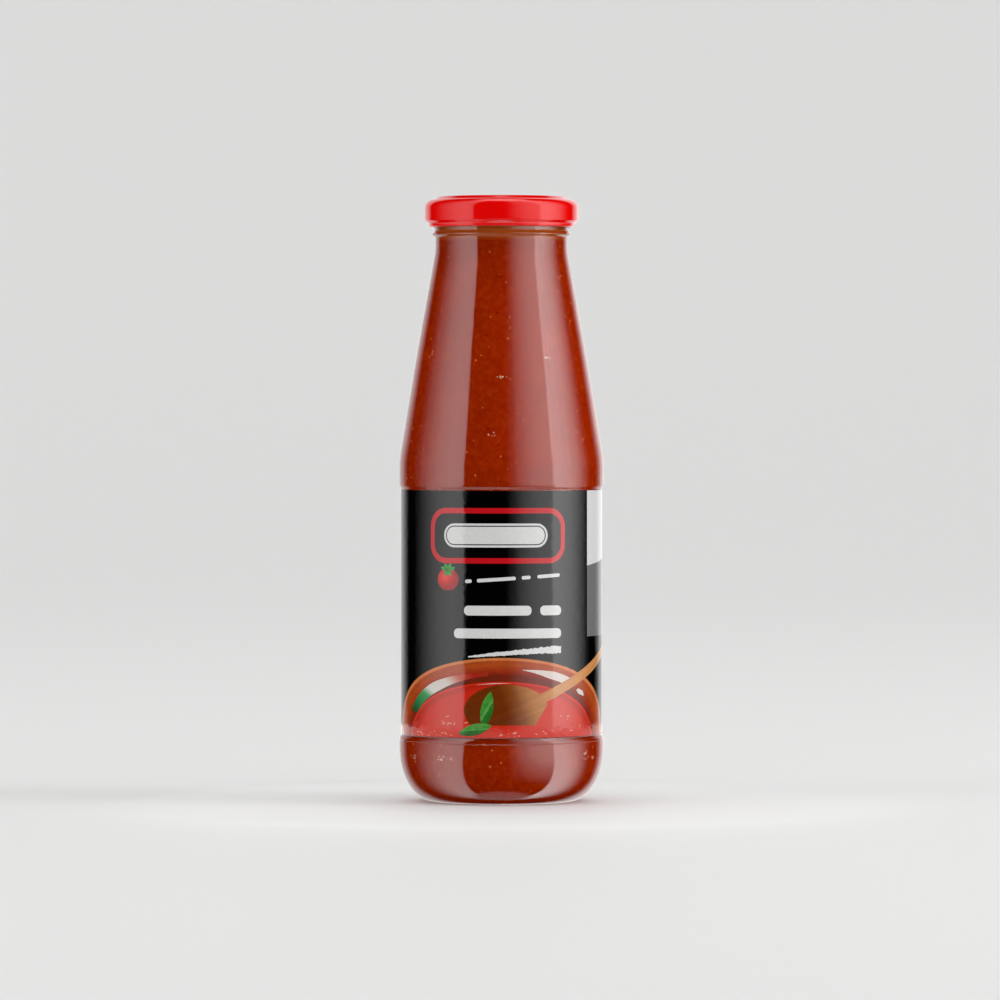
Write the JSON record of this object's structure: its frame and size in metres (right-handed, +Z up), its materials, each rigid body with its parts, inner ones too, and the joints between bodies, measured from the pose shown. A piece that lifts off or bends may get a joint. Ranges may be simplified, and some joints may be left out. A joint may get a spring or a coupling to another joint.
{
  "type": "passata bottle",
  "caption": "Filled glass passata bottle with a long tapering shoulder, a red metal twist-off lid and a black wrap-around paper label.",
  "frame": {"origin": "middle of the bearing ring that the bottle stands on", "axes": "+Z up the bottle's axis; the front of the label faces -Y and +X is to its right"},
  "size_m": [0.076, 0.076, 0.225],
  "materials": {
    "glass": "clear, glossy flint glass",
    "tomato": "wet, opaque, fine mottled sieved tomato",
    "lid_metal": "glossy red lacquer on tinplate",
    "label_paper": "varnished printed paper, black ground with coloured fields"
  },
  "bodies": {
    "root": {"bottle": "glass", "passata": "tomato", "lid": "lid_metal", "label": "label_paper"}
  },
  "joints": []
}
